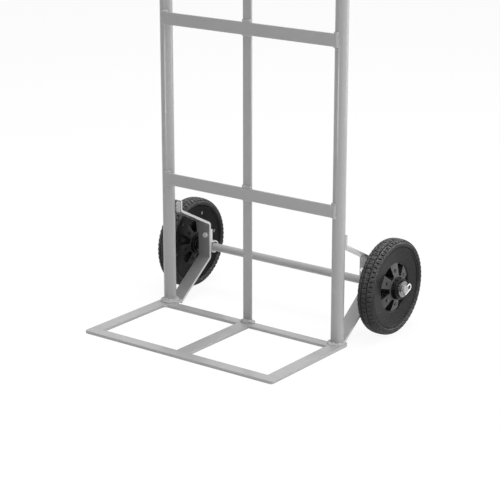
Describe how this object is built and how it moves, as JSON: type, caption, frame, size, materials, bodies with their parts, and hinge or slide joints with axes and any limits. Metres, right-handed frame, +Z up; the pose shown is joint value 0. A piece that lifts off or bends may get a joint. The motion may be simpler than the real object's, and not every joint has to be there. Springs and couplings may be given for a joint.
{
  "type": "hand truck",
  "caption": "Two-wheeled hand truck with a flat-bar nose plate, a tubular ladder frame, bent axle brackets and rubber-tyred wheels on one axle.",
  "frame": {"origin": "on the floor, under the middle of the hand truck's overall box", "axes": "+Z up, -Y towards the nose plate's front edge, +Y towards the wheels and handles, +X to the right seen from the front"},
  "size_m": [0.588, 0.47, 1.1653],
  "materials": {
    "grey_paint": "satin light grey powder coat",
    "zinc": "bright zinc plating",
    "clip_steel": "dull zinc plating",
    "tyre": "matte treaded rubber",
    "rim_plastic": "semi-gloss moulded plastic",
    "bush_plastic": "matte natural nylon",
    "grip_rubber": "matte ribbed rubber"
  },
  "bodies": {
    "frame": {"left_upright": "grey_paint", "right_upright": "grey_paint", "lower_crossbar": "grey_paint", "middle_crossbar": "grey_paint", "top_crossbar": "grey_paint", "centre_bar": "grey_paint", "plate_front_bar": "grey_paint", "plate_left_bar": "grey_paint", "plate_right_bar": "grey_paint", "plate_centre_bar": "grey_paint", "plate_back_rail": "grey_paint", "left_axle_bracket": "grey_paint", "right_axle_bracket": "grey_paint", "left_axle_clip": "clip_steel", "right_axle_clip": "clip_steel", "clip_bolts": "zinc", "clip_nuts": "zinc", "axle": "grey_paint", "axle_collars": "clip_steel", "inner_washers": "zinc", "outer_washers": "zinc", "hairpin_clips": "zinc", "left_grip": "grip_rubber", "right_grip": "grip_rubber"},
    "left_wheel": {"left_tyre": "tyre", "left_rim_outer": "rim_plastic", "left_rim_inner": "rim_plastic", "left_hub_bushes": "bush_plastic", "left_rim_screws": "zinc"},
    "right_wheel": {"right_tyre": "tyre", "right_rim_outer": "rim_plastic", "right_rim_inner": "rim_plastic", "right_hub_bushes": "bush_plastic", "right_rim_screws": "zinc"}
  },
  "joints": [
    {"name": "left_wheel_spin", "type": "hinge", "parent": "frame", "child": "left_wheel", "pos_m": [-0.2547, 0.137, 0.098], "axis": [1, 0, 0], "continuous": true},
    {"name": "right_wheel_spin", "type": "hinge", "parent": "frame", "child": "right_wheel", "pos_m": [0.2547, 0.137, 0.098], "axis": [1, 0, 0], "continuous": true}
  ]
}
